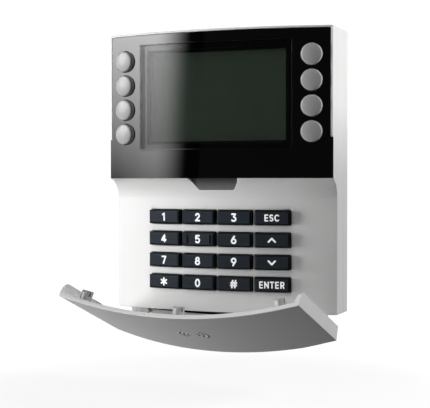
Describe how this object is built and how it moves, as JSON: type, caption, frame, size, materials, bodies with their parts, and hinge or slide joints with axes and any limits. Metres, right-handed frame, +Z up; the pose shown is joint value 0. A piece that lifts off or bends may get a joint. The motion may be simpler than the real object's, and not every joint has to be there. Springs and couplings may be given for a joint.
{
  "type": "alarm keypad panel",
  "caption": "Wall-mounted alarm keypad with a convex white case, glossy black display panel, side buttons, recessed keys and a hinged cover flap.",
  "frame": {"origin": "centre of the case's back face, on the wall plane", "axes": "+X to the right seen from the front, +Y into the wall, +Z up; the flap is open on its stop at rest"},
  "size_m": [0.11, 0.0803, 0.1493],
  "materials": {
    "white_case": "fine-textured white ABS",
    "gloss_black": "polished black",
    "lens": "polished dark window",
    "lcd": "dark green liquid crystal cell, off",
    "matte_black": "moulded black",
    "light_guide": "milky light guide",
    "board": "green solder mask",
    "flex": "ivory connector and strip",
    "silicone": "grey silicone",
    "terminal_green": "moulded green",
    "plated_steel": "zinc plated",
    "copper": "enamelled copper winding",
    "red_plastic": "moulded red",
    "silver_plastic": "satin silver lacquer",
    "key_plastic": "satin dark blue-grey"
  },
  "bodies": {
    "case": {"rear_base": "white_case", "front_housing": "white_case", "display_panel": "gloss_black", "display_lens": "lens", "lens_mask": "gloss_black", "lcd_frame": "matte_black", "lcd_glass": "lcd", "backlight": "light_guide", "main_board": "board", "keypad_board": "board", "board_link": "flex", "dome_mat": "silicone", "button_switches": "matte_black", "chips": "matte_black", "sounder": "matte_black", "terminal_block": "terminal_green", "terminal_screws": "plated_steel", "reader_coil": "copper", "tamper_switch": "matte_black", "board_screws": "plated_steel", "case_screw": "plated_steel"},
    "flap": {"flap_cover": "white_case", "flap_posts": "silver_plastic", "hinge_pins": "plated_steel"},
    "tamper_plunger": {"tamper_plunger": "red_plastic"},
    "button_left_1": {"button_left_1": "silver_plastic"},
    "button_left_2": {"button_left_2": "silver_plastic"},
    "button_left_3": {"button_left_3": "silver_plastic"},
    "button_left_4": {"button_left_4": "silver_plastic"},
    "button_right_1": {"button_right_1": "silver_plastic"},
    "button_right_2": {"button_right_2": "silver_plastic"},
    "button_right_3": {"button_right_3": "silver_plastic"},
    "button_right_4": {"button_right_4": "silver_plastic"},
    "key_1": {"key_1": "key_plastic"},
    "key_2": {"key_2": "key_plastic"},
    "key_3": {"key_3": "key_plastic"},
    "key_esc": {"key_esc": "key_plastic"},
    "key_4": {"key_4": "key_plastic"},
    "key_5": {"key_5": "key_plastic"},
    "key_6": {"key_6": "key_plastic"},
    "key_up": {"key_up": "key_plastic"},
    "key_7": {"key_7": "key_plastic"},
    "key_8": {"key_8": "key_plastic"},
    "key_9": {"key_9": "key_plastic"},
    "key_down": {"key_down": "key_plastic"},
    "key_star": {"key_star": "key_plastic"},
    "key_0": {"key_0": "key_plastic"},
    "key_hash": {"key_hash": "key_plastic"},
    "key_enter": {"key_enter": "key_plastic"}
  },
  "joints": [
    {"name": "flap_hinge", "type": "hinge", "parent": "case", "child": "flap", "pos_m": [0, -0.0138, -0.0657], "axis": [-1, 0, 0], "range_deg": [0, 69.4]},
    {"name": "button_left_1_press", "type": "slide", "parent": "case", "child": "button_left_1", "axis": [0.2349, 0.972, 0], "range_m": [0, 0.0005], "stiffness_N_per_m": 500},
    {"name": "button_left_2_press", "type": "slide", "parent": "case", "child": "button_left_2", "axis": [0.2349, 0.972, 0], "range_m": [0, 0.0005], "stiffness_N_per_m": 500},
    {"name": "button_left_3_press", "type": "slide", "parent": "case", "child": "button_left_3", "axis": [0.2349, 0.972, 0], "range_m": [0, 0.0005], "stiffness_N_per_m": 500},
    {"name": "button_left_4_press", "type": "slide", "parent": "case", "child": "button_left_4", "axis": [0.2349, 0.972, 0], "range_m": [0, 0.0005], "stiffness_N_per_m": 500},
    {"name": "button_right_1_press", "type": "slide", "parent": "case", "child": "button_right_1", "axis": [-0.2349, 0.972, 0], "range_m": [0, 0.0005], "stiffness_N_per_m": 500},
    {"name": "button_right_2_press", "type": "slide", "parent": "case", "child": "button_right_2", "axis": [-0.2349, 0.972, 0], "range_m": [0, 0.0005], "stiffness_N_per_m": 500},
    {"name": "button_right_3_press", "type": "slide", "parent": "case", "child": "button_right_3", "axis": [-0.2349, 0.972, 0], "range_m": [0, 0.0005], "stiffness_N_per_m": 500},
    {"name": "button_right_4_press", "type": "slide", "parent": "case", "child": "button_right_4", "axis": [-0.2349, 0.972, 0], "range_m": [0, 0.0005], "stiffness_N_per_m": 500},
    {"name": "key_1_press", "type": "slide", "parent": "case", "child": "key_1", "axis": [0.1407, 0.9901, 0], "range_m": [0, 0.0009], "stiffness_N_per_m": 500},
    {"name": "key_2_press", "type": "slide", "parent": "case", "child": "key_2", "axis": [0.047, 0.9989, 0], "range_m": [0, 0.0009], "stiffness_N_per_m": 500},
    {"name": "key_3_press", "type": "slide", "parent": "case", "child": "key_3", "axis": [-0.047, 0.9989, 0], "range_m": [0, 0.0009], "stiffness_N_per_m": 500},
    {"name": "key_esc_press", "type": "slide", "parent": "case", "child": "key_esc", "axis": [-0.1407, 0.9901, 0], "range_m": [0, 0.0009], "stiffness_N_per_m": 500},
    {"name": "key_4_press", "type": "slide", "parent": "case", "child": "key_4", "axis": [0.1407, 0.9901, 0], "range_m": [0, 0.0009], "stiffness_N_per_m": 500},
    {"name": "key_5_press", "type": "slide", "parent": "case", "child": "key_5", "axis": [0.047, 0.9989, 0], "range_m": [0, 0.0009], "stiffness_N_per_m": 500},
    {"name": "key_6_press", "type": "slide", "parent": "case", "child": "key_6", "axis": [-0.047, 0.9989, 0], "range_m": [0, 0.0009], "stiffness_N_per_m": 500},
    {"name": "key_up_press", "type": "slide", "parent": "case", "child": "key_up", "axis": [-0.1407, 0.9901, 0], "range_m": [0, 0.0009], "stiffness_N_per_m": 500},
    {"name": "key_7_press", "type": "slide", "parent": "case", "child": "key_7", "axis": [0.1407, 0.9901, 0], "range_m": [0, 0.0009], "stiffness_N_per_m": 500},
    {"name": "key_8_press", "type": "slide", "parent": "case", "child": "key_8", "axis": [0.047, 0.9989, 0], "range_m": [0, 0.0009], "stiffness_N_per_m": 500},
    {"name": "key_9_press", "type": "slide", "parent": "case", "child": "key_9", "axis": [-0.047, 0.9989, 0], "range_m": [0, 0.0009], "stiffness_N_per_m": 500},
    {"name": "key_down_press", "type": "slide", "parent": "case", "child": "key_down", "axis": [-0.1407, 0.9901, 0], "range_m": [0, 0.0009], "stiffness_N_per_m": 500},
    {"name": "key_star_press", "type": "slide", "parent": "case", "child": "key_star", "axis": [0.1407, 0.9901, 0], "range_m": [0, 0.0009], "stiffness_N_per_m": 500},
    {"name": "key_0_press", "type": "slide", "parent": "case", "child": "key_0", "axis": [0.047, 0.9989, 0], "range_m": [0, 0.0009], "stiffness_N_per_m": 500},
    {"name": "key_hash_press", "type": "slide", "parent": "case", "child": "key_hash", "axis": [-0.047, 0.9989, 0], "range_m": [0, 0.0009], "stiffness_N_per_m": 500},
    {"name": "key_enter_press", "type": "slide", "parent": "case", "child": "key_enter", "axis": [-0.1407, 0.9901, 0], "range_m": [0, 0.0009], "stiffness_N_per_m": 500},
    {"name": "tamper_press", "type": "slide", "parent": "case", "child": "tamper_plunger", "axis": [0, -1, 0], "range_m": [0, 0.0012], "stiffness_N_per_m": 300}
  ]
}
